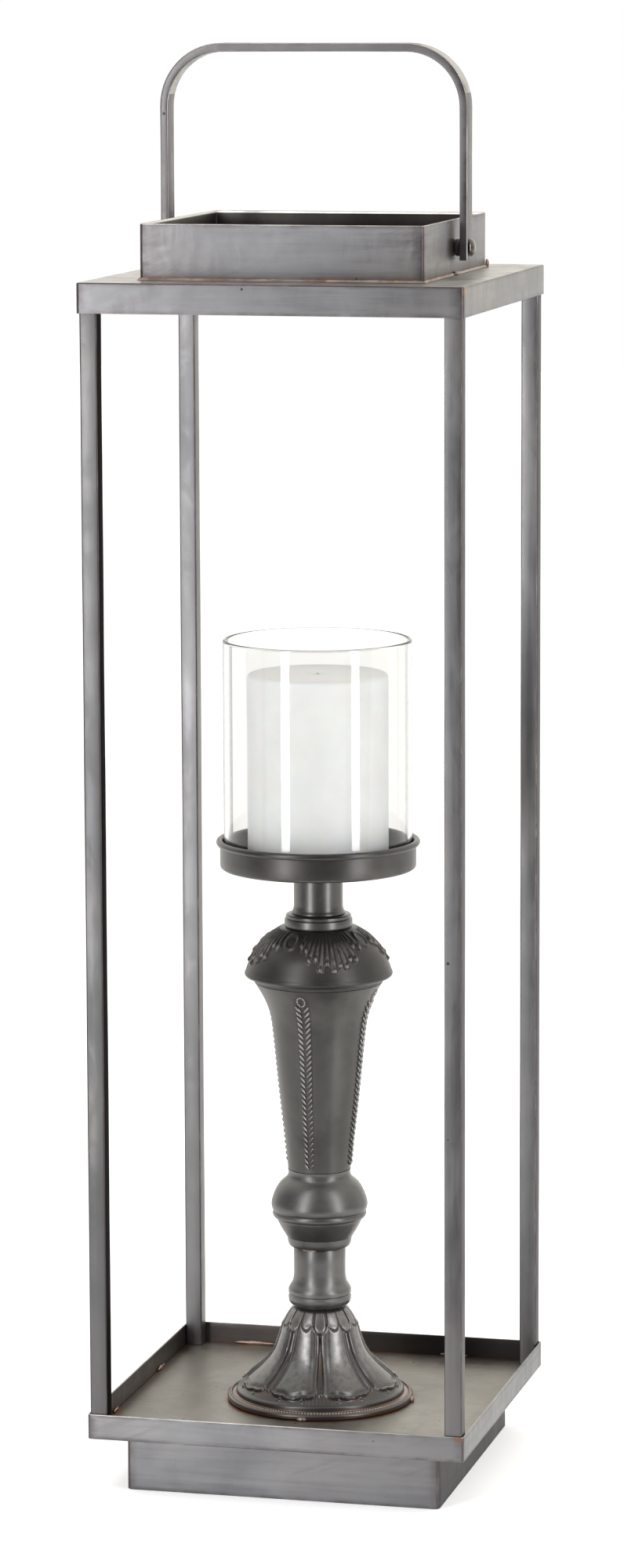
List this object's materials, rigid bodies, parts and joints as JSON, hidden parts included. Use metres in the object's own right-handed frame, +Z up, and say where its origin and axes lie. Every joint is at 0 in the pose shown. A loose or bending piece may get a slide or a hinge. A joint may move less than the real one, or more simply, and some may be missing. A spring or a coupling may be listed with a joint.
{
  "type": "candle lantern",
  "caption": "Tall square open-frame floor lantern: steel tray and lid on tube posts, bail handle, turned candle stand with pan, glass sleeve and pillar candle.",
  "frame": {"origin": "centre of the square that the plinth's bottom edge stands on", "axes": "+Z up, +Y to the back, +X to the right as seen from the front; the handle's rivets lie along X"},
  "size_m": [0.2032, 0.2032, 0.7594],
  "materials": {
    "frame_steel": "raw grey steel sheet and tube under clear lacquer, satin, faint streaks and weld tint",
    "handle_steel": "dark grey steel bar, satin, worn lighter on the edges",
    "stand_iron": "dark gunmetal lacquer over cast iron, satin, rubbed lighter on the high points, rust in the hollows",
    "rivet_iron": "dark domed rivet with a trace of rust",
    "zinc_hardware": "zinc-plated, dull",
    "clear_glass": "clear, polished, fire-polished rims",
    "candle_wax": "ivory white paraffin wax, smooth, slightly translucent",
    "wick_cotton": "braided cotton"
  },
  "bodies": {
    "frame": {"plinth": "frame_steel", "tray_rim": "frame_steel", "tray_floor": "frame_steel", "post_front_left": "frame_steel", "post_front_right": "frame_steel", "post_back_left": "frame_steel", "post_back_right": "frame_steel", "lid": "frame_steel", "collar": "frame_steel", "rivet_left": "rivet_iron", "rivet_right": "rivet_iron", "spacer_left": "frame_steel", "spacer_right": "frame_steel", "foot": "stand_iron", "lower_spool": "stand_iron", "ball_knop": "stand_iron", "vase_stem": "stand_iron", "dome_cap": "stand_iron", "neck_ring": "stand_iron", "upper_neck": "stand_iron", "candle_cup": "stand_iron", "cup_nut": "zinc_hardware", "tie_rod": "zinc_hardware", "base_washer": "zinc_hardware", "base_nut": "zinc_hardware"},
    "handle": {"handle": "handle_steel"},
    "glass": {"glass_sleeve": "clear_glass"},
    "candle": {"candle": "candle_wax", "wick": "wick_cotton"}
  },
  "joints": [
    {"name": "handle_swing", "type": "hinge", "parent": "frame", "child": "handle", "pos_m": [0, 0, 0.6538], "axis": [1, 0, 0], "range_deg": [-94, 94]},
    {"name": "glass_lift", "type": "slide", "parent": "frame", "child": "glass", "axis": [0, 0, 1], "range_m": [0, 0.12]},
    {"name": "candle_lift", "type": "slide", "parent": "frame", "child": "candle", "axis": [0, 0, 1], "range_m": [0, 0.12]}
  ]
}
